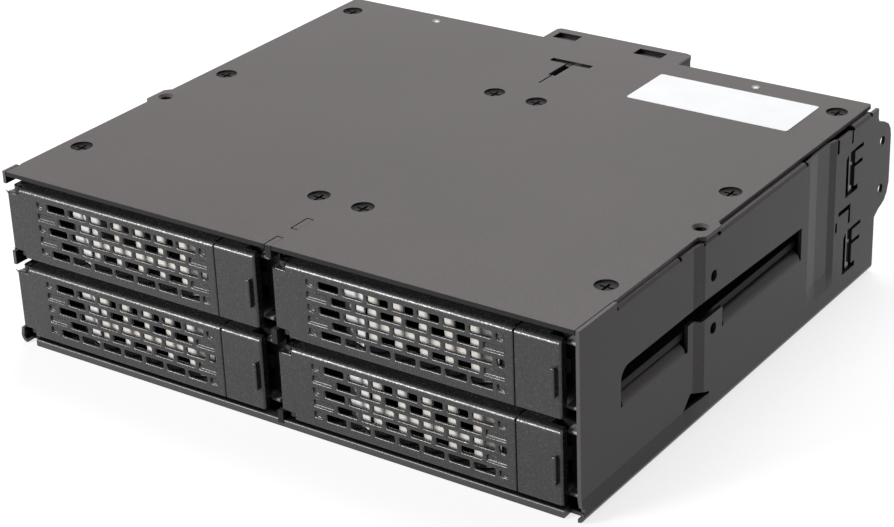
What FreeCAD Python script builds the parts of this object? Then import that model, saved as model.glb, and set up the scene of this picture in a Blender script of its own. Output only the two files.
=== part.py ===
import FreeCAD, Part
import math
import os

Vector = FreeCAD.Vector

# A hot swap cage for four 2.5 inch drives that fits one half-height 5.25 inch bay.
# X runs across the front, Y from the front to the rear, Z up. While the pieces are
# built, Y is 0 on the face of the closed tray levers; the last step centres the
# finished cage on its own box, with its lowest face on Z 0.

# ---- outside of the chassis ----
bay_width = 146.05
cage_height = 41.3
front_step = 0.625
cover_length = 125.9
wall_length = 126.9
ear_end = 134.1
sheet = 0.8
cover_sheet = 1.0
divider_sheet = 0.7
bend_radius = 1.5
top_bend = 0.9
side_gap = 0.3
fit_gap = 0.1

# ---- side walls ----
ramp_start = 43.0
ramp_length = 3.7
groove_start = 92.8
groove_depth = 0.5
groove_length = 12.9
strip_height = 5.1
wedge_start = 39.3
wedge_rise = 2.8
wedge_length = 9.7
flush_strip_length = 13.6
left_strip_length = 4.2
flange_width = 10.0
ear_bottom = 13.4
ear_top = 36.4
ear_round = 4.0

# ---- window and shelf of the upper trays ----
window_start = 14.8
window_end = 89.6
window_rise = 6.5
window_round = 3.0
tab_start = 40.9
tab_end = 54.1
tab_rise = 2.2
tab_nub = 1.1
flap_end = 39.7
shelf_bend = 2.5
shelf_reach = 6.5
relief = 0.6

# ---- mounting holes of the 5.25 inch bay ----
hole_y = 50.3
hole_pitch_y = 79.25
side_hole_high = 10.0
side_hole_low = 21.84
face_hole_span = 139.7
tap_radius = 1.25
tap_lead = 0.6

# ---- bays and trays ----
top_room = 2.2
face_gap = 2.3
face_rise = 0.8
lever_overlap = 0.15
seam = 0.3
button_length = 10.3
recess = 3.2
face_sheet = 1.8
face_round = 1.2
rim_depth = 4.3
rim_sheet = 1.2
barrel_radius = 1.9
pin_radius = 0.6
pin_clearance = 0.05
ear_radius = 1.0
notch_height = 1.5
button_travel = 2.0
edge_setback = 5.4

# ---- brick grille of the lever ----
brick_length = 4.9
brick_height = 1.5
brick_pitch = 6.0
rows = 5
grille_start = 8.3
first_brick = 11.3
grille_margin = 2.1
blind_end = 2.5
blind_depth = 0.45
brick_corner = 0.2

# ---- tray ----
frame_front = 4.7
frame_slab = 1.0
frame_depth = 7.0
left_pillar = 15.6
right_pillar_width = 20.4
sled_front = 6.0
sled_end = 104.0
sled_sheet = 0.8
runner_width = 1.2
pipe_width = 2.4
pipe_height = 0.8
pipe_rise = 0.6

# ---- bright shield behind the grille ----
shield_front = 2.4
shield_sheet = 0.5
shield_start = 14.6
shield_left_bend = 20.6
shield_right_run = 2.5
shield_first_window = 24.2
shield_window = 3.6
shield_foot = 2.9
shield_rail = 6.1
shield_rail_height = 2.2
shield_top = 1.6
leg_width = 3.0

# ---- drive, for the screw pattern and the connector ----
drive_screw_span = 61.72
drive_screw_y = 14.0
drive_screw_pitch = 76.6
plug_offset = 4.8
plug_height = 3.5

# ---- backplane ----
board_front = 113.45
board_sheet = 1.6
plug_depth = 6.0
plug_width = 38.6
plug_thick = 4.9
board_tab = 10.2
board_tab_low = 3.9
bay_opening = 3.75

# ---- rear panel and fan ----
port_depth = 9.0
port_reach = 32.6
port_rise = 10.0
power_reach = 56.0
fan_x = 1.6
fan_size = 40.0
fan_depth = 7.0
blade_clearance = 0.5
shaft_radius = 1.0
shaft_clearance = 0.05
blades = 7
tab_reach = 16.85
tab_length = 7.2
lip_height = 3.4

# ---- cover screws ----
screw_inset = 6.155
screw_front = 18.8
screw_back = 7.9
centre_screw_x = 5.65
centre_screw_front = 24.1
centre_screw_back = 35.9
screw_radius = 1.45
screw_head = 2.3
screw_sink = 0.45
screw_clearance = 0.05
screw_length = 3.2
rivet_x = 44.4
rivet_back = 3.6
rivet_radius = 1.1

# ---- places that follow from the sizes above ----
outer = bay_width / 2
front_outer = outer - front_step
ramp_end = ramp_start + ramp_length
cover_bottom = cage_height - cover_sheet
bay_floor = 2 * sheet
bay_pitch_z = (cover_bottom - top_room - face_rise - bay_floor + face_gap) / 2
face_height = bay_pitch_z - face_gap
shelf_top = bay_floor + bay_pitch_z
window_top = shelf_top + window_rise
bay_left = divider_sheet
bay_clear = front_outer - sheet - divider_sheet
lever_left = -lever_overlap
button_right = bay_clear - recess
button_left = button_right - button_length
lever_right = button_left - seam
pin_x = lever_left + barrel_radius
pin_y = barrel_radius
notch_width = barrel_radius + ear_radius + side_gap
grille_end = lever_right - grille_margin
odd_bricks = int((grille_end - first_brick - 0.2) / brick_pitch)
row_pitch = (face_height - rim_sheet * 2 - brick_height - 1.84) / (rows - 1)
runner_bottom = side_gap - face_rise
sled_floor = runner_bottom + sheet + sled_sheet
frame_top = face_height - fit_gap
right_pillar = bay_clear - right_pillar_width
shield_right_bend = right_pillar - shield_right_run
columns = {"left": -front_outer + sheet, "right": bay_left}
levels = {"lower": bay_floor + face_rise, "upper": shelf_top + face_rise}
panel_front = cover_length - sheet
fan_z = cover_bottom - fan_size / 2 - 0.05
fan_bore = 0.465 * fan_size
fan_hole_span = 0.8 * fan_size
hub_radius = 0.51 * fan_bore
screw_x = outer - screw_inset
screw_rows = [screw_front, (screw_front + cover_length - screw_back) / 2, cover_length - screw_back]
centre_screw_rows = [centre_screw_front, cover_length - centre_screw_back]
rivet_y = cover_length - rivet_back


def block(x0, x1, y0, y1, z0, z1):
    """Box between two corners."""
    return Part.makeBox(x1 - x0, y1 - y0, z1 - z0, Vector(x0, y0, z0))


def rod(radius, start, axis, length):
    """Round bar from a start point along an axis."""
    return Part.makeCylinder(radius, length, Vector(*start), Vector(*axis))


def slab(points, lift):
    """Flat outline pushed along the vector lift."""
    outline = Part.makePolygon([Vector(*p) for p in points + points[:1]])
    return Part.Face(outline).extrude(Vector(*lift))


def slab_z(points, z0, z1):
    return slab([(x, y, z0) for x, y in points], (0, 0, z1 - z0))


def slab_x(points, x0, x1):
    return slab([(x0, y, z) for y, z in points], (x1 - x0, 0, 0))


def slab_y(points, y0, y1):
    return slab([(x, y0, z) for x, z in points], (0, y1 - y0, 0))


def join(shapes):
    """One clean solid from touching or overlapping shapes."""
    whole = shapes[0].multiFuse(shapes[1:]) if len(shapes) > 1 else shapes[0]
    return whole.removeSplitter()


def carve(body, tools):
    return body.cut(Part.makeCompound(tools)).removeSplitter()


def moved(shape, x=0.0, y=0.0, z=0.0):
    copy = shape.copy()
    copy.translate(Vector(x, y, z))
    return copy


def mirrored(shape):
    return shape.mirror(Vector(0, 0, 0), Vector(1, 0, 0))


def round_edges(shape, radius, chosen):
    """Fillet the edges whose middle point passes the test chosen."""
    picked = [e for e in shape.Edges if chosen(e.valueAt((e.FirstParameter + e.LastParameter) / 2))]
    return shape.makeFillet(radius, picked)


def near(a, b):
    return abs(a - b) < 1e-4


def quarter_bend(corner_x, corner_z, radius, thick, y0, y1, side_x, side_z):
    """Quarter of a bent sheet whose outer faces would meet at a corner.

    side_x and side_z say on which side of the corner the bend's centre lies."""
    centre = Vector(corner_x + side_x * radius, y0, corner_z + side_z * radius)
    ring = Part.makeCylinder(radius, y1 - y0, centre, Vector(0, 1, 0))
    ring = ring.cut(Part.makeCylinder(radius - thick, y1 - y0, centre, Vector(0, 1, 0)))
    xs = sorted([corner_x, centre.x])
    zs = sorted([corner_z, centre.z])
    return ring.common(block(xs[0], xs[1], y0, y1, zs[0], zs[1]))


# ---- chassis ----

def wall_line(groove):
    """Plan outline of the side wall's sheet, with the groove this deep."""
    g0 = groove_start
    g1 = groove_start + groove_length
    line = [(front_outer, 0), (front_outer, ramp_start), (outer, ramp_end), (outer, g0)]
    line += [(outer - groove, g0 + groove_length * 0.35), (outer - groove, g1 - groove_length * 0.2)]
    line += [(outer, g1), (outer, ear_end)]
    return line + [(x - sheet, y) for x, y in reversed(line)]


def closed(points, z):
    """Closed level outline through plan points."""
    return Part.makePolygon([Vector(x, y, z) for x, y in points + points[:1]])


def strip_section(x_top, y):
    """Section of the slanted strip between the floor bend and the wall."""
    low = bend_radius
    points = [(outer, low), (x_top, strip_height), (x_top - sheet, strip_height), (outer - sheet, low)]
    return Part.makePolygon([Vector(x, y, z) for x, z in points + points[:1]])


def lower_strip():
    """Strip that leans out from the front wall to the floor bend, then stands upright."""
    wedge_end = wedge_start + wedge_length
    stations = [(front_outer, 0), (front_outer, wedge_start), (outer, wedge_end), (outer, wall_length)]
    parts = []
    for (xa, ya), (xb, yb) in zip(stations, stations[1:]):
        parts.append(Part.makeLoft([strip_section(xa, ya), strip_section(xb, yb)], True, True))
    return join(parts)


def window_cut(inner, outer_x):
    """Opening above the shelf, cut through the wall between two X places."""
    low = shelf_top - shelf_bend
    top_front = window_top - front_step
    tab_top = shelf_top + tab_rise
    opening = [(window_start, low), (tab_start, low), (tab_start, tab_top + tab_nub)]
    opening += [(tab_start + 2.2, tab_top + tab_nub), (ramp_end - 1.2, tab_top), (tab_end, tab_top)]
    opening += [(tab_end, low), (window_end, low), (window_end, window_top - 2 * front_step)]
    opening += [(ramp_end, window_top), (ramp_start, top_front), (window_start, top_front)]
    cut = slab_x(opening, inner, outer_x)
    return round_edges(cut, window_round, lambda p: near(p.y, window_start) and near(p.z, top_front))


def shelf_flap(face_x, bend, thick, reach, y0, y1):
    """Shelf bent inward from a wall whose outer face stands at face_x."""
    arc = quarter_bend(face_x, shelf_top, bend, thick, y0, y1, -1, -1)
    flat = block(face_x - reach, face_x - bend, y0, y1, shelf_top - thick, shelf_top)
    return join([arc, flat])


def top_flange(face_x, y0, y1):
    """Flange bent inward under the cover, with a tapped hole at each screw."""
    arc = quarter_bend(face_x, cover_bottom, top_bend, sheet, y0, y1, -1, -1)
    flat = block(face_x - flange_width, face_x - top_bend, y0, y1, cover_bottom - sheet, cover_bottom)
    flange = join([arc, flat])
    holes = [(screw_x, y) for y in screw_rows] + [(face_hole_span / 2, hole_y)]
    for x, y in holes:
        radius = tap_radius if near(y, hole_y) else screw_radius + screw_clearance
        if y0 < y < y1:
            flange = flange.cut(rod(radius, (x, y, cover_bottom - sheet), (0, 0, 1), sheet))
    return flange


def ear_outline():
    """Side outline that trims the wall's rear end to the mounting ear."""
    end = ear_end + 1
    high = cage_height + 1
    low = ear_bottom
    top = ear_top
    r = ear_round
    lower = [(wall_length, -1), (wall_length, low), (wall_length + 2.0, low + 1.2), (ear_end - 2.2, low + 2.3)]
    lower += [(ear_end - 0.9, low + 3.7), (ear_end, low + 6.2), (end, low + 6.2), (end, -1)]
    upper = [(wall_length, high), (wall_length, top + 1.4), (wall_length + 0.8, top + 0.2)]
    upper += [(ear_end - r, top - 0.5), (ear_end - 0.4 * r, top - 0.45 * r), (ear_end - 0.1 * r, top - 0.85 * r)]
    upper += [(ear_end, top - 1.3 * r), (end, top - 1.3 * r), (end, high)]
    return [slab_x(lower, outer - 2, outer + 1), slab_x(upper, outer - 2, outer + 1)]


def board_slots():
    """Openings that take the backplane's side tabs, and the slits round them."""
    x0 = outer - 2
    x1 = outer + 1
    front = board_front - 2.6
    rear = board_front + board_sheet + 0.2
    tall = board_tab + 2 * fit_gap
    cuts = []
    for tab in board_tab_rows():
        low = tab - fit_gap
        high = low + tall
        cuts.append(slab_x([(front, low), (rear, low), (rear, high), (front + 1.6, high), (front, high - 1.2)], x0, x1))
        for rise, reach, thick in ((0.0, 1.9, 1.3), (0.58 * tall, 4.0, 0.9), (tall - 0.8, 4.3, 0.9)):
            cuts.append(block(x0, x1, rear, rear + reach, low + rise, low + rise + thick))
    bar = shelf_top + 0.4
    cuts.append(block(x0, x1, board_front - 5.7, board_front + 0.4, bar, bar + 1.1))
    cuts.append(block(x0, x1, board_front - 0.6, board_front + 0.4, bar - 3.6, bar + 1.1))
    cuts.append(block(x0, x1, board_front - 7.1, board_front - 6.2, bar - 3.5, bar - 1.1))
    leg = cover_bottom - 3.7
    cuts.append(block(x0, x1, board_front - 7.5, board_front - 6.4, leg, cage_height))
    cuts.append(block(x0, x1, board_front - 0.2, board_front + 0.6, leg, cage_height))
    cuts.append(block(x0, x1, board_front - 7.5, board_front + 0.6, cover_bottom - 0.6, cage_height))
    return cuts


def board_tab_rows():
    """Lower edges of the backplane's two tabs on each side."""
    return [bay_floor + board_tab_low, shelf_top + board_tab_low]


def wall_web():
    """Pressed wall from the strip up to the upper bend."""
    deep = strip_height + 4.0
    lower = Part.makeLoft([closed(wall_line(0), strip_height), closed(wall_line(groove_depth), deep)], True, True)
    return join([lower, slab_z(wall_line(groove_depth), deep, cover_bottom - fit_gap)])


def flange_rows(strip_length):
    """Face and Y range of each length of upper flange, between its relief notches."""
    front = strip_length + relief
    return [(front_outer, front, ramp_start - 5.4), (outer, ramp_end + fit_gap, hole_y + 1.6),
            (outer, hole_y + 2.8, groove_start - 1.6), (outer, board_front + 1.2, wall_length - 3.9)]


def side_wall(strip_length, front_edge_cuts):
    """Right side wall: stamped sheet with shelf, flanges, windows and rear ear."""
    end = wedge_start + wedge_length
    low = strip_height
    wedge = slab_x([(wedge_start, low), (end, low), (end, low + 0.4), (wedge_start + wedge_rise, low + wedge_rise)],
                   outer - 3, outer + 1)
    cuts = [window_cut(outer - 3, outer + 1), wedge] + ear_outline() + board_slots()
    for high in (side_hole_high, side_hole_low):
        for y in (hole_y, hole_y + hole_pitch_y):
            cuts.append(rod(tap_radius, (outer - 3, y, cage_height - high), (1, 0, 0), 5))
    flanges = []
    for face_x, y0, y1 in flange_rows(strip_length):
        cuts.append(block(outer - 3, outer + 1, y0 - relief, y1 + relief, cover_bottom - top_bend, cage_height + 1))
        flanges.append(top_flange(face_x, y0, y1))
    wall = carve(join([wall_web(), lower_strip()]), cuts)
    strip = block(front_outer - sheet, front_outer, 0, strip_length, cover_bottom - top_bend, cage_height)
    flaps = [shelf_flap(front_outer, shelf_bend, sheet, shelf_reach, window_start + relief, flap_end)]
    flaps.append(shelf_flap(outer, shelf_bend, sheet, shelf_reach + front_step, tab_end + relief,
                            window_end - relief))
    return carve(join([wall, strip] + flanges + flaps), front_edge_cuts)


def finger_bands():
    """Heights of the front fingers that stand in the lever notches."""
    mid = shelf_top
    return [(-1, bay_floor + 2.0), (mid - 1.4, mid + 1.8), (cage_height - 2.8, cage_height + 1)]


def edge_cuts(x0, x1):
    """Cut back a sheet's front edge everywhere but at its fingers."""
    bands = finger_bands()
    cuts = []
    for (_, low), (high, _) in zip(bands, bands[1:]):
        cut = block(x0, x1, -2, edge_setback, low, high)
        cuts.append(round_edges(cut, 0.8, lambda p: near(p.y, edge_setback) and near(p.x, (x0 + x1) / 2)))
    return cuts


def bottom_pan():
    """Floor of the chassis with both lower bends, glide ribs and a hemmed front."""
    flat = outer - bend_radius
    floor = block(-flat, flat, 0, cover_length, 0, sheet)
    bends = [quarter_bend(outer, 0, bend_radius, sheet, fit_gap, wall_length, -1, 1)]
    hem = block(-front_outer + 3.0, front_outer - 3.6, 0, 2.4, sheet, bay_floor)
    hem = round_edges(hem, 0.35, lambda p: near(p.y, 0) and near(p.z, bay_floor))
    pan = join([floor, hem, bends[0], mirrored(bends[0])])
    ribs = []
    for left in columns.values():
        for x in (left + side_gap + 2.2, left + bay_clear - side_gap - 3.8):
            rib = block(x, x + 1.6, sled_front, sled_end - 4.0, sheet, bay_floor)
            ribs.append(round_edges(rib, 0.5, lambda p: near(p.z, bay_floor)))
    cuts = [block(-flat, -flat + 3.0, -1, 2.4, -1, 4), block(flat - 3.0, flat, -1, 2.4, -1, 4)]
    cuts.append(block(-divider_sheet - fit_gap, divider_sheet + fit_gap, -1, 3, sheet, bay_floor + 1))
    for y in divider_tab_rows():
        cuts.append(block(-divider_sheet - fit_gap, divider_sheet + fit_gap, y, y + 5.0 + 2 * fit_gap, -1, sheet + 1))
    return carve(join([pan] + ribs), cuts)


def divider_tab_rows():
    return [0.1 * sled_end, 0.46 * sled_end, 0.82 * sled_end]


def divider():
    """Right half of the centre divider: shelf, top flange, fingers and tabs."""
    t = divider_sheet
    rear = sled_end + relief
    cuts = edge_cuts(-1, t + 1)
    low = shelf_top - shelf_bend
    spans = [(window_start, tab_start), (tab_end, window_end)]
    for y0, y1 in spans:
        cuts.append(block(-1, t + 1, y0, y1, low, window_top - relief))
    parts = [carve(block(0, t, -fit_gap, rear, sheet, cover_bottom - t), cuts)]
    for y0, y1 in spans:
        parts.append(mirrored(shelf_flap(0, shelf_bend, t, shelf_reach, y0 + relief, y1 - relief)))
    flange = block(0, flange_width, window_start + relief, rear - 1.6, cover_bottom - t, cover_bottom)
    for y in centre_screw_rows:
        radius = screw_radius + screw_clearance
        flange = flange.cut(rod(radius, (centre_screw_x, y, cover_bottom - t), (0, 0, 1), t))
    parts.append(flange)
    for y0, y1 in cover_slots():
        parts.append(block(0, t, y0, y1, cover_bottom - t, cage_height))
    for y in divider_tab_rows():
        parts.append(block(0, t, y + fit_gap, y + 5.0 + fit_gap, 0.05, sheet))
    return join(parts)


def cover_slots():
    """Y range of the divider's two tabs in the cover."""
    return [(-fit_gap, 4.0), (8.7, 13.8)]


def cover_outline(strip_length):
    """One side of the cover's outline, from the front to the rear."""
    edge = front_outer - sheet
    side = [(edge - 0.2, 0), (edge - 0.2, strip_length + 0.4), (edge, strip_length + 0.6)]
    side += [(edge, hole_y - 4.6), (outer - 0.1, hole_y - 3.2), (outer - 0.1, hole_y + 2.8), (edge, hole_y + 4.2)]
    side += [(edge, cover_length - 0.4), (edge - 0.4, cover_length)]
    return side


def top_cover():
    """Flat cover with countersunk holes, locating slots, T slot and rear tab."""
    side = cover_outline(flush_strip_length)
    left_side = [(-x, y) for x, y in reversed(cover_outline(left_strip_length))]
    end = cover_length + tab_length
    left = fan_x - tab_reach
    right = fan_x + fan_size / 2 + fit_gap + sheet
    tab = [(right, cover_length), (right, end - 2.0), (right - 0.6, end - 0.6), (right - 2.0, end)]
    tab += [(left + 0.8, end), (left, end - 0.8), (left, cover_length)]
    plate = slab_z(side + tab + left_side, cover_bottom, cage_height)
    lip = block(right - sheet, right, cover_length + relief, end - 2.0, cage_height - lip_height, cage_height)
    cover = round_edges(join([plate, lip]), 0.7, lambda p: near(p.z, cage_height) and near(p.x, right))
    cuts = [countersink(x, y) for x, y in cover_screws()]
    for x in (-face_hole_span / 2, face_hole_span / 2):
        cuts.append(rod(tap_radius, (x, hole_y, cover_bottom), (0, 0, 1), cover_sheet))
        lead = Vector(x, hole_y, cage_height - tap_lead)
        cuts.append(Part.makeCone(tap_radius, tap_radius + tap_lead, tap_lead, lead, Vector(0, 0, 1)))
    for x in (-rivet_x, rivet_x):
        cuts.append(rod(rivet_radius + screw_clearance, (x, rivet_y, cover_bottom), (0, 0, 1), cover_sheet))
    t = divider_sheet
    for y0, y1 in cover_slots():
        cuts.append(block(-t - side_gap, t + 0.05, y0 - side_gap, y1 + side_gap, cover_bottom, cage_height))
    bar = board_front - fit_gap
    stem = bar - 7.9
    cuts.append(block(-5.6, 5.4, bar, bar + board_sheet + 2 * fit_gap, cover_bottom, cage_height))
    cuts.append(block(-1.0, 1.0, stem, bar, cover_bottom, cage_height))
    cuts.append(block(-0.2, 0.2, stem - 5.5, stem, cover_bottom, cage_height))
    for x0, x1 in ((left + 1.9, left + 8.2), (right - 13.3, right - 5.9)):
        cuts.append(block(x0, x1, cover_length + 1.1, cover_length + 4.7, cover_bottom, cage_height))
    return carve(cover, cuts)


def cover_screws():
    spots = [(side * screw_x, y) for side in (-1, 1) for y in screw_rows]
    return spots + [(side * centre_screw_x, y) for side in (-1, 1) for y in centre_screw_rows]


def countersink(x, y):
    """Seat for a flat head: clearance hole, cone and a short straight wall above."""
    clear = screw_radius + screw_clearance + 0.1
    head = screw_head + screw_clearance + 0.1
    cone_top = cage_height - screw_sink
    cone = Part.makeCone(clear, head, cone_top - cover_bottom, Vector(x, y, cover_bottom), Vector(0, 0, 1))
    return join([cone, rod(head, (x, y, cone_top), (0, 0, 1), screw_sink)])


def flat_screw(x, y):
    """Countersunk screw with a cross recess, its head sunk below the face."""
    top = cage_height - screw_sink
    head_depth = top - cover_bottom
    head = Part.makeCone(screw_radius, screw_head, head_depth, Vector(x, y, cover_bottom), Vector(0, 0, 1))
    shank = rod(screw_radius, (x, y, cage_height - screw_length), (0, 0, 1), screw_length - cover_sheet)
    recess = [block(x - 1.5, x + 1.5, y - 0.3, y + 0.3, top - 0.55, top + 1)]
    recess.append(block(x - 0.3, x + 0.3, y - 1.5, y + 1.5, top - 0.55, top + 1))
    return carve(join([head, shank]), recess)


def rivet(x, y):
    """Domed rivet that holds the rear panel's flange under the cover."""
    stem = rod(rivet_radius, (x, y, cover_bottom - sheet), (0, 0, 1), cover_sheet + sheet)
    dome = Part.makeSphere(2.2, Vector(x, y, cage_height - 1.9))
    cap = dome.common(block(x - 2, x + 2, y - 2, y + 2, cage_height, cage_height + 1))
    return join([stem, cap])


# ---- rear ----

def port_spots():
    """Centres of the four data ports and the two power ports on the board."""
    middle = cage_height / 2
    data = [(fan_x + a * port_reach, middle + b * port_rise) for a in (-1, 1) for b in (-1, 1)]
    power = [(fan_x + a * power_reach, middle) for a in (-1, 1)]
    return data, power


def rear_panel():
    """Rear sheet with cut-outs for the ports and the fan, flanged top and bottom."""
    y0 = panel_front
    half = outer - sheet - fit_gap
    plate = block(-half, half, y0, y0 + sheet, sheet, cover_bottom)
    flange = block(-half + 1, half - 1, y0 - 6.0, y0, cover_bottom - sheet, cover_bottom)
    duct = fan_bore + 3.0
    flange = flange.cut(block(fan_x - duct, fan_x + duct, y0 - 7, y0 - 1, cover_bottom - 2, cover_bottom + 1))
    foot = block(-half + 12, half - 12, y0 - 5.0, y0, sheet, 2 * sheet)
    foot = foot.cut(block(fan_x - duct, fan_x + duct, y0 - 6, y0 - 1, 0, 3))
    cuts = [rod(fan_bore, (fan_x, y0 - 1, fan_z), (0, 1, 0), sheet + 2)]
    data, power = port_spots()
    cuts += [block(x - 8.6, x + 8.6, y0 - 1, y0 + sheet + 1, z - 4.0, z + 4.0) for x, z in data]
    cuts += [block(x - 5.0, x + 5.0, y0 - 1, y0 + sheet + 1, z - 13.6, z + 13.6) for x, z in power]
    for x in (-screw_x, screw_x):
        cuts.append(block(x - 6, x + 6, y0 - 8, y0 - 0.01, cover_bottom - 2, cover_bottom + 1))
        cuts.append(block(x - 6, x + 6, y0 - 1, y0 + 2, cover_bottom - 0.95, cover_bottom + 1))
    for x in (-rivet_x, rivet_x):
        cuts.append(rod(rivet_radius + screw_clearance, (x, rivet_y, cover_bottom - 2), (0, 0, 1), 4))
    cuts += fan_holes(y0 - 1, sheet + 2, tap_radius)
    flat = outer - bend_radius
    cuts += [block(-outer, -flat, y0 - 1, y0 + 2, 0, bend_radius), block(flat, outer, y0 - 1, y0 + 2, 0, bend_radius)]
    return carve(join([plate, flange, foot]), cuts)


def fan_holes(y0, length, radius):
    reach = fan_hole_span / 2
    return [rod(radius, (fan_x + a, y0, fan_z + b), (0, 1, 0), length) for a in (-reach, reach) for b in (-reach, reach)]


def backplane():
    """Circuit board that closes the bays, with side tabs, top tab and air vent."""
    y0 = board_front
    half = outer - sheet - 0.35
    low = sheet + fit_gap
    high = cover_bottom - sheet - fit_gap
    board = block(-half, half, y0, y0 + board_sheet, low, high)
    parts = [board, block(-5.3, 5.1, y0, y0 + board_sheet, high, cover_bottom + side_gap)]
    for z in board_tab_rows():
        parts.append(block(-outer + relief, outer - relief, y0, y0 + board_sheet, z, z + board_tab))
    vent_width = 0.85 * fan_size
    vent_height = 0.7 * fan_size
    vent = block(fan_x - vent_width / 2, fan_x + vent_width / 2, y0 - 1, y0 + 3,
                 fan_z - vent_height / 2, fan_z + vent_height / 2)
    vent = round_edges(vent, 2.0, lambda p: near(p.y, y0 + 1))
    return carve(join(parts), [vent])


def drive_plug(column, level):
    """Receptacle block for a drive's data and power contacts."""
    x = columns[column] + bay_clear / 2 - plug_offset
    z = levels[level] + sled_floor + plug_height
    y1 = board_front
    y0 = y1 - plug_depth
    half = plug_width / 2
    body = block(x - half, x + half, y0, y1, z - plug_thick / 2, z + plug_thick / 2)
    body = round_edges(body, 0.8, lambda p: near(abs(p.x - x), half) and near(p.y, (y0 + y1) / 2))
    cuts = []
    for x0, x1 in ((x - half + 2.0, x - half + 24.5), (x - half + 26.6, x + half - 2.0)):
        cuts.append(block(x0, x1, y0 - 1, y0 + 4.6, z - 0.9, z + 0.3))
        cuts.append(block(x0, x0 + 1.1, y0 - 1, y0 + 4.6, z - 0.9, z + 1.4))
    return carve(body, cuts)


def data_port(spot):
    """Seven contact data socket: a shrouded box round a contact tongue."""
    x, z = spot
    y0 = board_front + board_sheet
    shell = block(x - 8.2, x + 8.2, y0, y0 + port_depth, z - 3.4, z + 3.4)
    shell = round_edges(shell, 0.6, lambda p: near(p.y, y0 + port_depth / 2))
    hollow = block(x - 6.9, x + 6.9, y0 + 1.6, y0 + port_depth + 1, z - 2.3, z + 2.3)
    tongue = join([block(x - 5.6, x + 5.6, y0 + 1.0, y0 + port_depth - 1.0, z - 0.6, z + 0.6),
                   block(x - 5.6, x - 4.4, y0 + 1.0, y0 + port_depth - 1.0, z - 0.6, z + 1.6)])
    return join([carve(shell, [hollow]), tongue])


def power_port(spot):
    """Upright four contact power plug: a chamfered shroud round four pins."""
    x, z = spot
    y0 = board_front + board_sheet
    half = 12.9
    outline = [(x - 4.6, z - half), (x + 2.6, z - half), (x + 4.6, z - half + 2.0), (x + 4.6, z + half - 2.0)]
    outline += [(x + 2.6, z + half), (x - 4.6, z + half)]
    shell = slab_y(outline, y0, y0 + port_depth)
    hollow = block(x - 3.3, x + 3.3, y0 + 1.8, y0 + port_depth + 1, z - half + 1.9, z + half - 1.9)
    pins = [rod(1.0, (x, y0 + 1.0, z + step * 5.08), (0, 1, 0), port_depth - 2.0) for step in (-1.5, -0.5, 0.5, 1.5)]
    return join([carve(shell, [hollow])] + pins)


def fan_housing():
    """Square fan frame with a round bore, three struts and the motor seat."""
    y0 = panel_front + sheet
    half = fan_size / 2
    frame = block(fan_x - half, fan_x + half, y0, y0 + fan_depth, fan_z - half, fan_z + half)
    frame = round_edges(frame, 2.6, lambda p: near(p.y, y0 + fan_depth / 2))
    cuts = [rod(fan_bore, (fan_x, y0 - 1, fan_z), (0, 1, 0), fan_depth + 2)]
    cuts += fan_holes(y0 - 1, fan_depth + 2, 1.7)
    frame = carve(frame, cuts)
    back = y0 + fan_depth
    seat = rod(hub_radius, (fan_x, back - 1.2, fan_z), (0, 1, 0), 1.2)
    struts = []
    for step in range(3):
        strut = block(fan_x + hub_radius - 1, fan_x + fan_bore + 1.2, back - 1.2, back, fan_z - 0.9, fan_z + 0.9)
        strut.rotate(Vector(fan_x, 0, fan_z), Vector(0, 1, 0), 30 + 120 * step)
        struts.append(strut)
    post = rod(shaft_radius, (fan_x, y0 + 1.4, fan_z), (0, 1, 0), fan_depth - 1.4)
    return join([frame, seat, post] + struts)


def fan_blade(y0, depth):
    """One blade, swept round the hub while it runs from front to back."""
    tip = fan_bore - blade_clearance
    root = hub_radius - 0.4
    sections = []
    for turn, y in ((-13, y0), (0, y0 + depth * 0.5), (16, y0 + depth)):
        a = math.radians(turn)
        b = math.radians(turn - 11)
        c = math.radians(4.2)
        ring = [(root, a), (tip, b), (tip, b + c), (root, a + 1.6 * c)]
        points = [Vector(fan_x + r * math.cos(t), y, fan_z + r * math.sin(t)) for r, t in ring]
        sections.append(Part.makePolygon(points + points[:1]))
    blade = Part.makeLoft(sections, True, True)
    return blade.common(rod(tip, (fan_x, y0 - 1, fan_z), (0, 1, 0), depth + 2))


def fan_rotor():
    """Hub cup with its ring of swept blades, bored for the fixed post."""
    y0 = panel_front + sheet + 0.6
    depth = fan_depth - 2.4
    hub = rod(hub_radius, (fan_x, y0, fan_z), (0, 1, 0), depth)
    hub = round_edges(hub, 0.9, lambda p: near(p.y, y0))
    blade = fan_blade(y0 + 0.4, depth - 0.8)
    ring = []
    for step in range(blades):
        copy = blade.copy()
        copy.rotate(Vector(fan_x, 0, fan_z), Vector(0, 1, 0), 360.0 * step / blades)
        ring.append(copy)
    bore = rod(shaft_radius + shaft_clearance, (fan_x, y0 + 0.6, fan_z), (0, 1, 0), depth)
    return carve(join([hub] + ring), [bore])


def fan_screw(hole):
    """Pan head screw in one corner of the fan frame."""
    x, z = hole
    back = panel_front + sheet + fan_depth
    shank = rod(tap_radius - 0.05, (x, panel_front, z), (0, 1, 0), fan_depth + sheet)
    head = rod(2.4, (x, back, z), (0, 1, 0), 0.9)
    head = round_edges(head, 0.4, lambda p: near(p.y, back + 0.9))
    recess = [block(x - 1.3, x + 1.3, back + 0.4, back + 2, z - 0.25, z + 0.25)]
    recess.append(block(x - 0.25, x + 0.25, back + 0.4, back + 2, z - 1.3, z + 1.3))
    return carve(join([head, shank]), recess)


# ---- tray, built for a bay whose left side is X 0 and whose face stands on Z 0 ----

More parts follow.
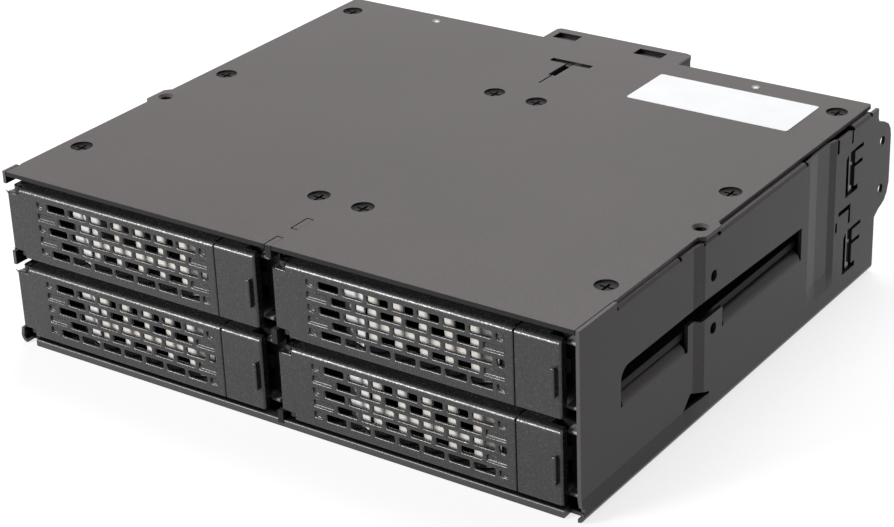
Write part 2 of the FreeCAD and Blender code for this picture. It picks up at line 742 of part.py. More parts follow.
def face_shell(x0, x1, rim_end):
    """Front plate, its long edges rounded, with rims that run back as far as rim_end."""
    h = face_height
    plate = slab_x([(0, 0), (face_sheet, 0), (face_sheet, h), (0, h)], x0, x1)
    plate = round_edges(plate, face_round, lambda p: near(p.y, 0) and near(p.z, h))
    plate = round_edges(plate, 0.5, lambda p: near(p.y, 0) and near(p.z, 0))
    rims = [block(x0, rim_end, face_sheet - 0.2, rim_depth, z, z + rim_sheet) for z in (0, h - rim_sheet)]
    return join([plate] + rims)


def brick(x0, x1, z, depth_end):
    """Cutter for one brick, its corners eased."""
    c = brick_corner
    low = z - brick_height / 2
    high = z + brick_height / 2
    outline = [(x0 + c, low), (x1 - c, low), (x1, low + c), (x1, high - c), (x1 - c, high)]
    outline += [(x0 + c, high), (x0, high - c), (x0, low + c)]
    return slab_y(outline, -1, depth_end)


def grille_bricks():
    """Running bond of bricks: open in the middle, blind at both ends."""
    through = face_sheet + 1
    middle = face_height / 2 + fit_gap
    cutters = []
    for row in range(rows):
        z = middle + (rows - 1 - 2 * row) / 2 * row_pitch
        shifted = row % 2 == 1
        start = first_brick + (brick_pitch / 2 if shifted else 0)
        count = odd_bricks - 1 if shifted else odd_bricks
        for n in range(count):
            x = start + n * brick_pitch
            cutters.append(brick(x, x + brick_length, z, through))
        web = brick_pitch - brick_length
        last = start + (count - 1) * brick_pitch + brick_length + web
        cutters.append(brick(grille_start, start - web, z, blind_depth))
        open_end = row == rows // 2
        cutters.append(brick(last, grille_end, z, through if open_end else blind_depth))
    return cutters


def lever():
    """Ejection lever: grille face, hinge barrel and the tongue at its free end."""
    shell = face_shell(lever_left, lever_right, lever_right)
    shell = round_edges(shell, 0.45, lambda p: near(p.y, 0) and near(p.x, lever_left))
    barrel = rod(barrel_radius, (pin_x, pin_y, 0), (0, 0, 1), face_height)
    ribs = []
    for x in (lever_right - rim_sheet, pin_x + barrel_radius + 1.2):
        ribs.append(block(x, x + rim_sheet, face_sheet - 0.2, rim_depth, rim_sheet / 2, face_height - rim_sheet / 2))
    body = join([shell, barrel] + ribs)
    left = lever_left - 1
    notch_end = lever_left + notch_width
    corner = block(left, pin_x - 0.2, pin_y, rim_depth + 1, -1, face_height + 1)
    corner = corner.cut(rod(barrel_radius, (pin_x, pin_y, -1), (0, 0, 1), face_height + 2))
    cuts = [corner, block(left, notch_end, -1, 6, face_height - notch_height, face_height + 1)]
    cuts.append(block(left, notch_end, -1, 6, -1, notch_height + 0.1))
    cuts.append(rod(pin_radius + pin_clearance, (pin_x, pin_y, -1), (0, 0, 1), face_height + 2))
    return carve(body, cuts + grille_bricks())


def hinge_pin():
    """Steel pin through both frame ears and the lever's barrel."""
    return rod(pin_radius, (pin_x, pin_y, 0.15), (0, 0, 1), face_height - 0.3)


def button():
    """Release button: thin plate with a grip rib and a guide tongue."""
    shell = face_shell(button_left, button_right, button_right - 3.6)
    shell = round_edges(shell, 0.6, lambda p: near(p.y, 0) and near(p.x, button_right))
    rib_x = button_right - 2.0
    rib = block(rib_x, rib_x + 1.0, -1.0, face_sheet / 2, face_height / 2 - 3.6, face_height / 2 + 2.8)
    rib = round_edges(rib, 0.3, lambda p: near(p.y, -1.0) or (near(p.y, (face_sheet / 2 - 1.0) / 2)))
    return join([shell, rib, tongue_box(0)])


def tongue_box(room):
    """Guide tongue of the button, or the slot round it with room on each side."""
    x0 = button_left + 2.4
    mid = face_height / 2
    return block(x0 - room, x0 + 4.0 + room + (button_travel + 0.8 if room else 0), face_sheet - 0.2, 8.2 + room,
                 mid - 3.0 - room, mid + 3.0 + room)


def latch_spring():
    """Steel leaf bent into a V that pushes the button back to the lever."""
    x0 = button_left + 6.4 + 0.02
    x1 = button_left + 2.4 + 4.0 + side_gap + button_travel + 0.8 - 0.02
    t = 0.25
    y0 = 5.0
    mid = face_height / 2
    points = [(x0, y0), (x0 + t, y0), (x1 - t, y0 + 1.5), (x1 - t, y0 + 1.9), (x0 + t, y0 + 3.0)]
    points += [(x0, y0 + 3.0), (x1 - 2 * t, y0 + 1.7)]
    return slab_z(points, mid - 1.5, mid + 1.5)


def front_frame():
    """Moulded front frame: two pillars, a top bar and the hinge ears."""
    x0 = side_gap
    x1 = bay_clear - side_gap
    y0 = frame_front
    y1 = frame_front + frame_slab
    y2 = frame_front + frame_depth
    h = frame_top
    slab_low = 0.1
    floor = sled_floor
    parts = [block(x0, left_pillar, y0, y1, slab_low, h), block(right_pillar, x1, y0, y1, slab_low, h)]
    parts += [block(x0, left_pillar, y1, y2, floor, h), block(right_pillar, x1, y1, y2, floor, h)]
    parts.append(block(left_pillar, right_pillar, y0, y2, h - rim_sheet, h))
    parts.append(block(left_pillar, right_pillar, y0, y1, slab_low, floor))
    body = join(parts)
    body = round_edges(body, 0.7, lambda p: near(p.z, h) and (near(p.x, x0) or near(p.x, x1)))
    hollows = [block(x0 + 1.6, left_pillar - 1.4, y1 + 1.0, y2 + 1, floor + 1.4, h - 1.6)]
    hollows.append(block(right_pillar + 1.4, button_left + 1.0, y1 + 1.0, y2 + 1, floor + 1.4, h - 1.6))
    hollows.append(tongue_box(side_gap))
    room = pipe_height / 2 + fit_gap
    for z, low in zip(pipe_levels(), (floor, frame_top - rim_sheet - room)):
        hollows.append(block(pipe_left() - fit_gap, pipe_left() + pipe_width + fit_gap, y0 - 1, y2 + 1, low, z + room))
    ears = []
    for z0, z1 in ((slab_low, notch_height - 0.2), (face_height - notch_height + 0.3, h)):
        ear = join([rod(ear_radius, (pin_x, pin_y, z0), (0, 0, 1), z1 - z0),
                    block(pin_x - ear_radius, pin_x + ear_radius, pin_y, y0 + 0.5, z0, z1)])
        ears.append(ear)
    bore = rod(pin_radius + pin_clearance, (pin_x, pin_y, -1), (0, 0, 1), face_height + 2)
    return carve(join([carve(body, hollows)] + ears), [bore])


def pipe_levels():
    """Heights of the light pipe's two arms, near the foot and the head of the face."""
    return [sled_floor + pipe_rise, frame_top - rim_sheet]


def pipe_left():
    return button_right - 0.4


def light_pipe():
    """Clear guide: a bar behind the frame with two arms that end beside the button."""
    x0 = pipe_left()
    x1 = x0 + pipe_width
    low, high = pipe_levels()
    half = pipe_height / 2
    back = frame_front + frame_depth + fit_gap
    tip = face_sheet + 2 * side_gap
    arms = []
    for z in (low, high):
        arm = block(x0, x1, tip, back, z - half, z + half)
        arms.append(round_edges(arm, 0.35, lambda p: near(p.y, tip)))
    return join(arms + [block(x0, x1, back, back + 1.0, low - half, high + half)])


def front_shield():
    """Bright punched shield close behind the grille, its ends bent back to the frame."""
    y0 = shield_front
    t = shield_sheet
    foot = shield_foot
    top = face_height - shield_top
    xa = shield_left_bend
    xb = shield_right_bend
    line = [(shield_start, frame_front - t), (xa, y0), (xb, y0), (right_pillar + 0.6, frame_front - t)]
    sheet_body = slab_z(line + [(x, y + t) for x, y in reversed(line)], rim_sheet + side_gap, top)
    cuts = [block(xa - 0.6, xb + 0.2, y0 - 1, y0 + 2, 0, foot)]
    cuts.append(block(shield_start - 1, xa - leg_width, y0 - 1, frame_front + 1, 0, foot))
    x = shield_first_window
    while x + shield_window < xb:
        cuts.append(block(x, x + shield_window, y0 - 1, y0 + 2, foot + 0.6, shield_rail))
        cuts.append(block(x, x + shield_window, y0 - 1, y0 + 2, shield_rail + shield_rail_height, top - 1.4))
        x += brick_pitch
    cuts.append(block(xa + 0.1, xa + 0.9, y0 - 1, y0 + 2, foot + 0.6, top - 1.4))
    return carve(sheet_body, cuts)


def sled():
    """Sheet metal tray: vented floor on two runners, with drive screw holes."""
    x0 = side_gap
    x1 = bay_clear - side_gap
    floor = sled_floor
    plate = block(x0, x1, sled_front, sled_end, floor - sled_sheet, floor)
    runners = []
    for x in (x0, x1 - runner_width):
        rail = block(x, x + runner_width, sled_front + 0.6, sled_end, runner_bottom, floor)
        runners.append(round_edges(rail, 0.5, lambda p: near(p.y, sled_end) and near(p.z, (runner_bottom + floor) / 2)))
    lip = block(x0 + 4, x1 - 4, sled_end - sled_sheet, sled_end, floor - sled_sheet, floor + 1.6)
    cuts = []
    centre = bay_clear / 2
    drive_rear = board_front - plug_depth + 0.75
    for x in (centre - drive_screw_span / 2, centre + drive_screw_span / 2):
        for y in (drive_rear - drive_screw_y, drive_rear - drive_screw_y - drive_screw_pitch):
            hole = Part.makeCone(1.7, 2.9, sled_sheet, Vector(x, y, floor - sled_sheet), Vector(0, 0, 1))
            cuts.append(hole.mirror(Vector(0, 0, floor - sled_sheet / 2), Vector(0, 0, 1)))
    step = (sled_end - 24.0) / 5
    for row in range(5):
        for x in (centre - 20, centre, centre + 20):
            vent = block(x - 6, x + 6, 22 + step * row, 27 + step * row, floor - 2, floor + 1)
            cuts.append(round_edges(vent, 2.0, lambda p: near(p.z, floor - 0.5)))
    return carve(join([plate, lip] + runners), cuts)


# ---- assembly ----

def build():
    """Every node by name, still with Y 0 on the lever faces."""
    nodes = {}
    nick = block(front_outer - 2, outer + 1, -1, relief, bay_floor + relief, bay_floor + 3 * relief)
    nodes["side_wall_right"] = side_wall(flush_strip_length, [nick])
    nodes["side_wall_left"] = mirrored(side_wall(left_strip_length, edge_cuts(front_outer - sheet - 1, outer + 1)))
    nodes["bottom_pan"] = bottom_pan()
    nodes["top_cover"] = top_cover()
    nodes["divider_right"] = divider()
    nodes["divider_left"] = mirrored(divider())
    nodes["cover_screws"] = Part.makeCompound([flat_screw(x, y) for x, y in cover_screws()])
    nodes["cover_rivets"] = Part.makeCompound([rivet(x, rivet_y) for x in (-rivet_x, rivet_x)])
    nodes["rear_panel"] = rear_panel()
    nodes["backplane_board"] = backplane()
    data, power = port_spots()
    for n, spot in enumerate(data):
        nodes["data_port_%d" % (n + 1)] = data_port(spot)
    for name, spot in zip(("left", "right"), power):
        nodes["power_port_" + name] = power_port(spot)
    nodes["fan_housing"] = fan_housing()
    nodes["fan_rotor"] = fan_rotor()
    reach = fan_hole_span / 2
    corners = [(fan_x + a, fan_z + b) for a in (-reach, reach) for b in (-reach, reach)]
    nodes["fan_screws"] = Part.makeCompound([fan_screw(c) for c in corners])
    pieces = {"tray_sled": sled(), "front_frame": front_frame(), "lever": lever(), "hinge_pin": hinge_pin()}
    pieces.update({"release_button": button(), "latch_spring": latch_spring(), "light_pipe": light_pipe()})
    pieces["front_shield"] = front_shield()
    for level, z in levels.items():
        for column, x in columns.items():
            tag = level + "_" + column
            nodes["drive_plug_" + tag] = drive_plug(column, level)
            for name, shape in pieces.items():
                nodes[name + "_" + tag] = moved(shape, x, 0, z)
    return nodes


def main():
    os.makedirs("parts", exist_ok=True)
    nodes = build()
    front = min(shape.BoundBox.YMin for shape in nodes.values())
    rear = max(shape.BoundBox.YMax for shape in nodes.values())
    for name, shape in nodes.items():
        shape.translate(Vector(0, -(front + rear) / 2, 0))
        shape.exportStep("parts/%s.step" % name)


main()
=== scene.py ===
import math

import bpy
from mathutils import Matrix, Vector


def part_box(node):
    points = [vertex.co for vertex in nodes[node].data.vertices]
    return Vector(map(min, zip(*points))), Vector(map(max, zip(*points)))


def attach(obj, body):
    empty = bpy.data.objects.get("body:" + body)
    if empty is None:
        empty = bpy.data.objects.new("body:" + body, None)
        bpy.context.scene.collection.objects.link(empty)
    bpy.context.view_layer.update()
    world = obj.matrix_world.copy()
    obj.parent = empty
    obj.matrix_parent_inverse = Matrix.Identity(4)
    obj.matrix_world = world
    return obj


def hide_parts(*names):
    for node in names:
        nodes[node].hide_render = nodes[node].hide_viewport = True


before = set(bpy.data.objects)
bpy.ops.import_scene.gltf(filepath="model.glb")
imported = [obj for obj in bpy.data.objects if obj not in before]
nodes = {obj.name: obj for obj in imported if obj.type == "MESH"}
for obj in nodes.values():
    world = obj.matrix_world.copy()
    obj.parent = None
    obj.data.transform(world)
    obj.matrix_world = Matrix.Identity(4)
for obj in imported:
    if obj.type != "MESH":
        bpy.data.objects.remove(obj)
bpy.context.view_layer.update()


# Camera: a long studio lens, above the front right corner of the cage. It is rolled a little,
# so that the upright edges lean, and its frame is shifted slightly sideways and down.
azimuth = math.radians(33.904)
elevation = math.radians(25.776)
roll = math.radians(-1.559)
stand = Vector((0.26853, -0.38115, 0.23695))
forward = Vector((-math.sin(azimuth) * math.cos(elevation), math.cos(azimuth) * math.cos(elevation),
                  -math.sin(elevation)))
level = Vector((math.cos(azimuth), math.sin(azimuth), 0.0))
upright = level.cross(forward)
right = level * math.cos(roll) + upright * math.sin(roll)
up = upright * math.cos(roll) - level * math.sin(roll)
lens = bpy.data.cameras.new("studio_lens")
lens.sensor_width = 36.0
lens.lens = 92.57
lens.shift_x = -0.0673
lens.shift_y = -0.0140
lens.clip_start = 0.01
lens.clip_end = 20.0
camera = bpy.data.objects.new("studio_camera", lens)
bpy.context.scene.collection.objects.link(camera)
camera.matrix_world = Matrix.Translation(stand) @ Matrix((right, up, -forward)).transposed().to_4x4()
bpy.context.scene.camera = camera


# Studio: a pale floor and a white surround, with a soft box above and behind the cage and a
# stronger one farther off at the front left, which draws bright lines along rounded edges.
bpy.context.scene.view_settings.view_transform = "Standard"
MM = 0.001


def seen_or_lit(tree, seen, lit):
    """Show one shader to the camera and to mirror or glass rays, and light with the other."""
    path = tree.nodes.new("ShaderNodeLightPath")
    total = path.outputs["Is Camera Ray"]
    for name in ("Is Glossy Ray", "Is Transmission Ray"):
        either = tree.nodes.new("ShaderNodeMath")
        either.operation = "MAXIMUM"
        tree.links.new(total, either.inputs[0])
        tree.links.new(path.outputs[name], either.inputs[1])
        total = either.outputs[0]
    pick = tree.nodes.new("ShaderNodeMixShader")
    tree.links.new(total, pick.inputs["Fac"])
    tree.links.new(lit.outputs[0], pick.inputs[1])
    tree.links.new(seen.outputs[0], pick.inputs[2])
    return pick.outputs[0]


world = bpy.data.worlds.new("studio_surround")
bpy.context.scene.world = world
world.use_nodes = True
surround = world.node_tree
surround.nodes.clear()
surround_out = surround.nodes.new("ShaderNodeOutputWorld")
glow = surround.nodes.new("ShaderNodeBackground")
white = surround.nodes.new("ShaderNodeBackground")
for shade, strength in ((glow, 0.07), (white, 1.0)):
    shade.inputs["Color"].default_value = (1.0, 1.0, 1.0, 1.0)
    shade.inputs["Strength"].default_value = strength
surround.links.new(seen_or_lit(surround, white, glow), surround_out.inputs["Surface"])


def soft_box(name, place, aim, width, height, power):
    """Area lamp at a place, turned to face the point aim."""
    lamp = bpy.data.lights.new(name, "AREA")
    lamp.shape = "RECTANGLE"
    lamp.size = width
    lamp.size_y = height
    lamp.energy = power
    thing = bpy.data.objects.new(name, lamp)
    bpy.context.scene.collection.objects.link(thing)
    thing.location = place
    thing.rotation_euler = (Vector(aim) - Vector(place)).to_track_quat("-Z", "Y").to_euler()


soft_box("lamp_overhead", place=(-0.16, 0.46, 0.88), aim=(0, 0, 0.03), width=0.6, height=0.6, power=7.4)
soft_box("lamp_front", place=(-0.88, -1.34, 0.7), aim=(0, -0.04, 0.02), width=0.62, height=0.32, power=30.0)

floor_reach = 6.0
floor_mesh = bpy.data.meshes.new("studio_floor")
floor_corners = [(x * floor_reach, y * floor_reach, 0) for x, y in ((-1, -1), (1, -1), (1, 1), (-1, 1))]
floor_mesh.from_pydata(floor_corners, [], [(0, 1, 2, 3)])
floor = bpy.data.objects.new("studio_floor", floor_mesh)
bpy.context.scene.collection.objects.link(floor)
floor.location.z = -0.2 * MM
sweep = bpy.data.materials.new("studio_sweep")
sweep.use_nodes = True
sweep_tree = sweep.node_tree
shown = sweep_tree.nodes["Principled BSDF"]
shown.inputs["Base Color"].default_value = (0.3, 0.3, 0.3, 1.0)
shown.inputs["Roughness"].default_value = 0.9
shown.inputs["Emission Color"].default_value = (1.0, 1.0, 1.0, 1.0)
shown.inputs["Emission Strength"].default_value = 0.78
bounce = sweep_tree.nodes.new("ShaderNodeBsdfDiffuse")
bounce.inputs["Color"].default_value = (0.22, 0.22, 0.22, 1.0)
sweep_out = sweep_tree.nodes["Material Output"]
sweep_tree.links.new(seen_or_lit(sweep_tree, shown, bounce), sweep_out.inputs["Surface"])
floor_mesh.materials.append(sweep)


# Chassis sheet: folded steel under a fine charcoal powder coat with a tight pebble and a
# little unevenness in tone. Painted shade makes the coat near black in deep recesses, and faces
# that look to the front get a painted tone of their own, shade on most parts, highlight on the walls.
class Finish:
    """A material and its node tree, with short ways to add and join nodes."""

    def __init__(self, name, colour, roughness, metallic=0.0):
        self.material = bpy.data.materials.new(name)
        self.material.use_nodes = True
        self.tree = self.material.node_tree
        self.shader = self.tree.nodes["Principled BSDF"]
        self.set("Base Color", (*colour, 1.0))
        self.set("Roughness", roughness)
        self.set("Metallic", metallic)
        self.place = self.add("ShaderNodeTexCoord").outputs["Object"]

    def add(self, kind, **settings):
        node = self.tree.nodes.new(kind)
        for key, value in settings.items():
            setattr(node, key, value)
        return node

    def set(self, socket, value):
        self.shader.inputs[socket].default_value = value

    def join(self, start, end):
        self.tree.links.new(start, end)

    def noise(self, per_mm, detail=2.0, stretch=None):
        """Noise with about this many features in a millimetre."""
        node = self.add("ShaderNodeTexNoise")
        node.inputs["Scale"].default_value = per_mm / MM
        node.inputs["Detail"].default_value = detail
        source = self.place
        if stretch:
            mapping = self.add("ShaderNodeMapping")
            mapping.inputs["Scale"].default_value = stretch
            self.join(source, mapping.inputs["Vector"])
            source = mapping.outputs["Vector"]
        self.join(source, node.inputs["Vector"])
        return node.outputs["Fac"]

    def facing(self, axis):
        """How far the surface faces along an axis, from -1 to 1."""
        split = self.add("ShaderNodeSeparateXYZ")
        self.join(self.add("ShaderNodeNewGeometry").outputs["Normal"], split.inputs["Vector"])
        return split.outputs[axis]

    def ramp(self, source, dark, light, low=0.3, high=0.7):
        """Colour that goes from dark at low to light at high."""
        node = self.add("ShaderNodeValToRGB")
        for end, position, tone in zip(node.color_ramp.elements, (low, high), (dark, light)):
            end.position = position
            end.color = (*tone, 1.0)
        self.join(source, node.inputs["Fac"])
        return node.outputs["Color"]

    def spread(self, source, low, high, out_low, out_high):
        """Map the range from low to high onto another range."""
        node = self.add("ShaderNodeMapRange")
        for key, value in (("From Min", low), ("From Max", high), ("To Min", out_low), ("To Max", out_high)):
            node.inputs[key].default_value = value
        self.join(source, node.inputs["Value"])
        return node.outputs["Result"]

    def blend(self, factor, first, second):
        """Mix of two colours, each a socket or a plain colour."""
        node = self.add("ShaderNodeMix", data_type="RGBA")
        inputs = {socket.identifier: socket for socket in node.inputs}
        self.join(factor, inputs["Factor_Float"])
        for key, value in (("A_Color", first), ("B_Color", second)):
            if isinstance(value, tuple):
                inputs[key].default_value = (*value, 1.0)
            else:
                self.join(value, inputs[key])
        return next(socket for socket in node.outputs if socket.identifier == "Result_Color")

    def colour(self, source):
        self.join(source, self.shader.inputs["Base Color"])

    def gloss(self, source, smooth, rough):
        """Roughness that follows a noise between two values."""
        self.join(self.spread(source, 0.3, 0.7, smooth, rough), self.shader.inputs["Roughness"])

    def bump(self, source, height_mm, strength):
        node = self.add("ShaderNodeBump")
        node.inputs["Distance"].default_value = height_mm * MM
        node.inputs["Strength"].default_value = strength
        self.join(source, node.inputs["Height"])
        self.join(node.outputs["Normal"], self.shader.inputs["Normal"])


def soften(thing, width_mm, segments=2, angle=28.0, clamp=True):
    """Small rounded edges, as a real press, mould or coat leaves them."""
    bevel = thing.modifiers.new("eased_edges", "BEVEL")
    bevel.width = width_mm * MM
    bevel.segments = segments
    bevel.limit_method = "ANGLE"
    bevel.angle_limit = math.radians(angle)
    bevel.use_clamp_overlap = clamp
    bevel.harden_normals = True
    for face in thing.data.polygons:
        face.use_smooth = True


def dress(names, finish, edge_mm=0.0, **easing):
    """Give CAD nodes their finish and eased edges."""
    for name in names:
        thing = nodes[name]
        thing.data.materials.clear()
        thing.data.materials.append(finish.material)
        if edge_mm:
            soften(thing, edge_mm, **easing)


def powder_coat(name, shine, front_face_paint):
    """Charcoal powder coat; the last argument is a painted shade or highlight for faces that look to the
    front.
    """
    coat = Finish(name, (0.08, 0.071, 0.0715), 0.36)
    coat.set("Specular IOR Level", shine)
    pebble = coat.noise(3.2, 3.0)
    cloud = coat.noise(0.02, 3.0)
    dull = coat.ramp(pebble, (0.064, 0.055, 0.0555), (0.094, 0.083, 0.084), 0.34, 0.62)
    fresh = coat.ramp(pebble, (0.07, 0.06, 0.061), (0.104, 0.092, 0.093), 0.34, 0.62)
    tone = coat.blend(coat.spread(cloud, 0.35, 0.65, 0.0, 1.0), dull, fresh)
    # Painted shade or highlight: faces that look to the front take the given front colour.
    painted_front_mask = coat.spread(coat.facing("Y"), -0.97, -0.8, 1.0, 0.0)
    tone = coat.blend(painted_front_mask, tone, front_face_paint)
    # Painted shade: ambient occlusion turns the colour near black in recesses.
    painted_recess_shade = coat.add("ShaderNodeAmbientOcclusion", samples=8)
    painted_recess_shade.inputs["Distance"].default_value = 7.0 * MM
    outside_painted_shade = coat.spread(painted_recess_shade.outputs["AO"], 0.35, 0.75, 0.0, 1.0)
    coat.colour(coat.blend(outside_painted_shade, (0.006, 0.0055, 0.0055), tone))
    coat.gloss(pebble, 0.3, 0.44)
    coat.bump(pebble, 0.03, 0.7)
    return coat


# Front colours: painted shade on the cover, dividers, rear panel and pan, painted highlight on the side
# walls.
dress(["top_cover", "divider_left", "divider_right", "rear_panel"],
      powder_coat("powder_coat", 0.2, (0.014, 0.013, 0.013)), 0.12, angle=50.0, clamp=False)
dress(["side_wall_left", "side_wall_right"],
      powder_coat("wall_coat", 0.2, (0.11, 0.104, 0.104)), 0.12, angle=50.0, clamp=False)
dress(["bottom_pan"], powder_coat("rubbed_coat", 0.6, (0.05, 0.046, 0.046)), 0.25)


# Backplane: glass-cloth board under a thick, dark green solder mask, which is glossy and lets
# a little of the weave show through.
board = Finish("solder_mask", (0.004, 0.012, 0.007), 0.3)
board.colour(board.ramp(board.noise(1.0), (0.003, 0.009, 0.005), (0.005, 0.016, 0.009), 0.45, 0.55))
board.set("Coat Weight", 0.4)
dress(["backplane_board"], board, 0.05)


# Sockets: glossy black moulded shrouds on both faces of the board; the two power sockets
# are ivory nylon.
trays = [tier + "_" + side for tier in ("lower", "upper") for side in ("left", "right")]
gloss_black = Finish("gloss_black", (0.012, 0.012, 0.013), 0.22)
gloss_black.gloss(gloss_black.noise(0.7, 3.0), 0.16, 0.3)
dress(["drive_plug_" + tray for tray in trays], gloss_black, 0.08)
dress(["data_port_%d" % number for number in (1, 2, 3, 4)], gloss_black, 0.08)
nylon = Finish("ivory_nylon", (0.76, 0.72, 0.62), 0.4)
nylon.colour(nylon.ramp(nylon.noise(0.2, 3.0), (0.7, 0.66, 0.56), (0.8, 0.77, 0.68)))
dress(["power_port_left", "power_port_right"], nylon, 0.1)


# Fan: housing and rotor moulded in the same satin black plastic, with a faint grain left by
# the tool.
fan_black = Finish("fan_black", (0.014, 0.014, 0.015), 0.34)
fan_black.gloss(fan_black.noise(0.4, 3.0), 0.26, 0.44)
fan_black.bump(fan_black.noise(1.0), 0.008, 0.4)
dress(["fan_housing", "fan_rotor"], fan_black, 0.12)


# Bright fixings: hinge pins and fan screws are plated steel, polished by the tumbler and a
# little stained.
plated = Finish("plated_steel", (0.62, 0.62, 0.61), 0.25, 1.0)
plated.gloss(plated.noise(0.8, 4.0), 0.18, 0.4)
plated.colour(plated.ramp(plated.noise(0.3, 3.0), (0.5, 0.5, 0.49), (0.68, 0.68, 0.67)))
dress(["fan_screws"] + ["hinge_pin_" + tray for tray in trays], plated, 0.04)


# Tray sleds: folded sheet under thin, dull black paint, with faint rub marks along its
# length from the runners.
paint = Finish("tray_paint", (0.008, 0.008, 0.009), 0.5)
paint.set("Specular IOR Level", 0.1)
rub = paint.noise(0.35, 4.0, stretch=(1.0, 0.05, 1.0))
paint.colour(paint.ramp(rub, (0.005, 0.005, 0.0055), (0.011, 0.011, 0.012), 0.4, 0.68))
paint.gloss(rub, 0.42, 0.56)
dress(["tray_sled_" + tray for tray in trays], paint, 0.12)


# Front frames: injection moulded black plastic behind the levers, satin, with a faint
# orange-peel from the tool.
moulded = Finish("moulded_black", (0.012, 0.012, 0.013), 0.36)
moulded.gloss(moulded.noise(0.6, 3.0), 0.3, 0.45)
moulded.bump(moulded.noise(1.2), 0.01, 0.4)
dress(["front_frame_" + tray for tray in trays], moulded, 0.15)


# Shields: thin strip with a pale satin plating, punched with rows of windows and bent back at
# both ends. It is cream behind the grille, with a cool painted reflection on faces turned left.
pale = Finish("pale_strip", (0.86, 0.83, 0.78), 0.38)
# Painted reflection: faces that look to the left are tinted cool blue-white.
left_facing_painted_reflection = pale.spread(pale.facing("X"), -0.45, -0.15, 1.0, 0.0)
grain = pale.noise(0.5, 4.0, stretch=(0.06, 1.0, 1.0))
cream = pale.ramp(grain, (0.84, 0.79, 0.73), (0.92, 0.89, 0.84))
pale.colour(pale.blend(left_facing_painted_reflection, cream, (0.82, 0.89, 0.96)))
pale.gloss(pale.noise(1.2, 4.0, stretch=(0.08, 1.0, 1.0)), 0.3, 0.46)
pale.bump(grain, 0.008, 0.3)
dress(["front_shield_" + tray for tray in trays], pale, 0.05)


# Levers and buttons: dark grey plastic with a spark-eroded texture and painted glints in its colour.
# Their long top edges are rounded and catch the light. A lever is a thin shell, so the
# scene's own lever has only a thin web left behind its bricks.
texture = Finish("spark_texture", (0.026, 0.025, 0.026), 0.24)
texture.set("Specular IOR Level", 0.5)
spark = texture.noise(2.4, 3.0)
matt = texture.ramp(spark, (0.017, 0.0165, 0.017), (0.036, 0.035, 0.036))
# Painted highlights: random cells of the texture are coloured much lighter, as glints.
painted_glint_cells = texture.add("ShaderNodeTexVoronoi")
painted_glint_cells.inputs["Scale"].default_value = 3.6 / MM
texture.join(texture.place, painted_glint_cells.inputs["Vector"])
painted_glint = texture.spread(painted_glint_cells.outputs["Color"], 0.78, 0.96, 0.0, 1.0)
texture.colour(texture.blend(painted_glint, matt, (0.1, 0.097, 0.097)))
texture.gloss(spark, 0.2, 0.32)
texture.bump(spark, 0.045, 0.8)
dress(["release_button_" + tray for tray in trays], texture, 0.16)

web = 0.7 * MM
pocket_rear = 3.4 * MM
hinge_stock = 7.9 * MM
free_end_stock = 1.6 * MM
rim = 1.25 * MM


def box_mesh(name, low, high):
    """Closed box between two corners."""
    mesh = bpy.data.meshes.new(name)
    points = [(x, y, z) for x in (low[0], high[0]) for y in (low[1], high[1]) for z in (low[2], high[2])]
    faces = [(0, 1, 3, 2), (4, 6, 7, 5), (0, 4, 5, 1), (2, 3, 7, 6), (0, 2, 6, 4), (1, 5, 7, 3)]
    mesh.from_pydata(points, [], faces)
    return mesh


def thin_lever(tray):
    """Lever with the stock behind its grille cut away to a thin web."""
    low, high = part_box("lever_" + tray)
    pocket_low = (low[0] + hinge_stock, low[1] + web, low[2] + rim)
    pocket_high = (high[0] - free_end_stock, low[1] + pocket_rear, high[2] - rim)
    pocket = bpy.data.objects.new("pocket", box_mesh("pocket", pocket_low, pocket_high))
    piece = bpy.data.objects.new("thin_lever_" + tray, nodes["lever_" + tray].data.copy())
    for thing in (pocket, piece):
        bpy.context.scene.collection.objects.link(thing)
    cut = piece.modifiers.new("web", "BOOLEAN")
    cut.object = pocket
    cut.solver = "EXACT"
    state = bpy.context.evaluated_depsgraph_get()
    piece.data = bpy.data.meshes.new_from_object(piece.evaluated_get(state))
    piece.modifiers.clear()
    bpy.data.objects.remove(pocket)
    piece.data.materials.clear()
    piece.data.materials.append(texture.material)
    soften(piece, 0.32, segments=3, angle=50.0, clamp=False)
    even = piece.modifiers.new("even_shading", "WEIGHTED_NORMAL")
    even.keep_sharp = True
    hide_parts("lever_" + tray)
    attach(piece, "lever_body_" + tray)


for tray in trays:
    thin_lever(tray)


# Light pipes: clear moulded acrylic, milky inside, pushed into the slots of the front frame.
clear = Finish("clear_pipe", (0.4, 0.42, 0.43), 0.3)
clear.set("Transmission Weight", 0.3)
clear.set("Specular IOR Level", 0.3)
clear.set("IOR", 1.49)
clear.colour(clear.ramp(clear.noise(0.5), (0.32, 0.34, 0.35), (0.44, 0.46, 0.47)))
dress(["light_pipe_" + tray for tray in trays], clear, 0.06)


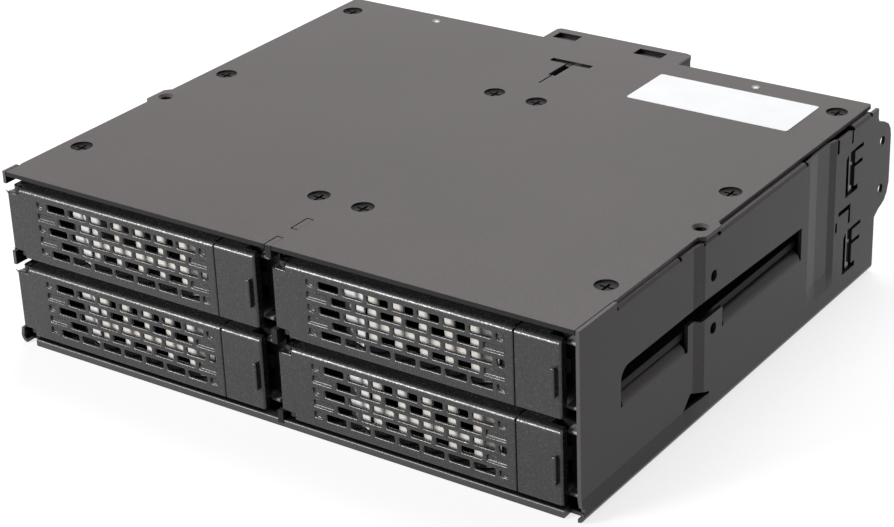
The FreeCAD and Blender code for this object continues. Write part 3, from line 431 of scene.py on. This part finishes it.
# Cover screws and latch springs: steel under dull black oxide. The two rivets keep a worn,
# half bright coat.
oxide = Finish("black_oxide", (0.005, 0.005, 0.005), 0.4)
oxide.set("Specular IOR Level", 0.12)
oxide.gloss(oxide.noise(1.5, 4.0), 0.34, 0.5)
dress(["cover_screws"], oxide, 0.08)
dress(["latch_spring_" + tray for tray in trays], oxide)
rivet_coat = Finish("rivet_coat", (0.2, 0.19, 0.19), 0.3, 0.5)
rivet_coat.gloss(rivet_coat.noise(1.5, 3.0), 0.22, 0.4)
dress(["cover_rivets"], rivet_coat, 0.05)


# Label: a blank white paper sticker on the rear right of the cover, with rounded corners.
# Its front and rear edges are measured from the front edge of the cover.
cover_low, cover_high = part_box("top_cover")
label_left = 21.9 * MM
label_right = 62.4 * MM
label_front = cover_low[1] + 102.4 * MM
label_rear = cover_low[1] + 118.5 * MM
label_top = cover_high[2] + 0.1 * MM
label_base = cover_high[2] - 0.02 * MM
corner = 0.6 * MM
corner_steps = 7
outline = []
for quarter, (x, y) in enumerate(((label_right - corner, label_rear - corner),
                                  (label_left + corner, label_rear - corner),
                                  (label_left + corner, label_front + corner),
                                  (label_right - corner, label_front + corner))):
    for step in range(corner_steps):
        turn = math.radians(90 * (quarter + step / (corner_steps - 1)))
        outline.append((x + corner * math.cos(turn), y + corner * math.sin(turn)))
around = len(outline)
points = [(x, y, z) for z in (label_top, label_base) for x, y in outline]
faces = [tuple(range(around))]
for n in range(around):
    after = (n + 1) % around
    faces.append((n, around + n, around + after, after))
label_mesh = bpy.data.meshes.new("blank_label")
label_mesh.from_pydata(points, [], faces)
label = bpy.data.objects.new("blank_label", label_mesh)
bpy.context.scene.collection.objects.link(label)
paper_white = Finish("label_paper", (0.85, 0.86, 0.87), 0.45)
paper_white.colour(paper_white.ramp(paper_white.noise(0.15, 4.0), (0.83, 0.84, 0.85), (0.87, 0.88, 0.89)))
paper_white.bump(paper_white.noise(2.0, 3.0), 0.005, 0.4)
label_mesh.materials.append(paper_white.material)
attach(label, "chassis")
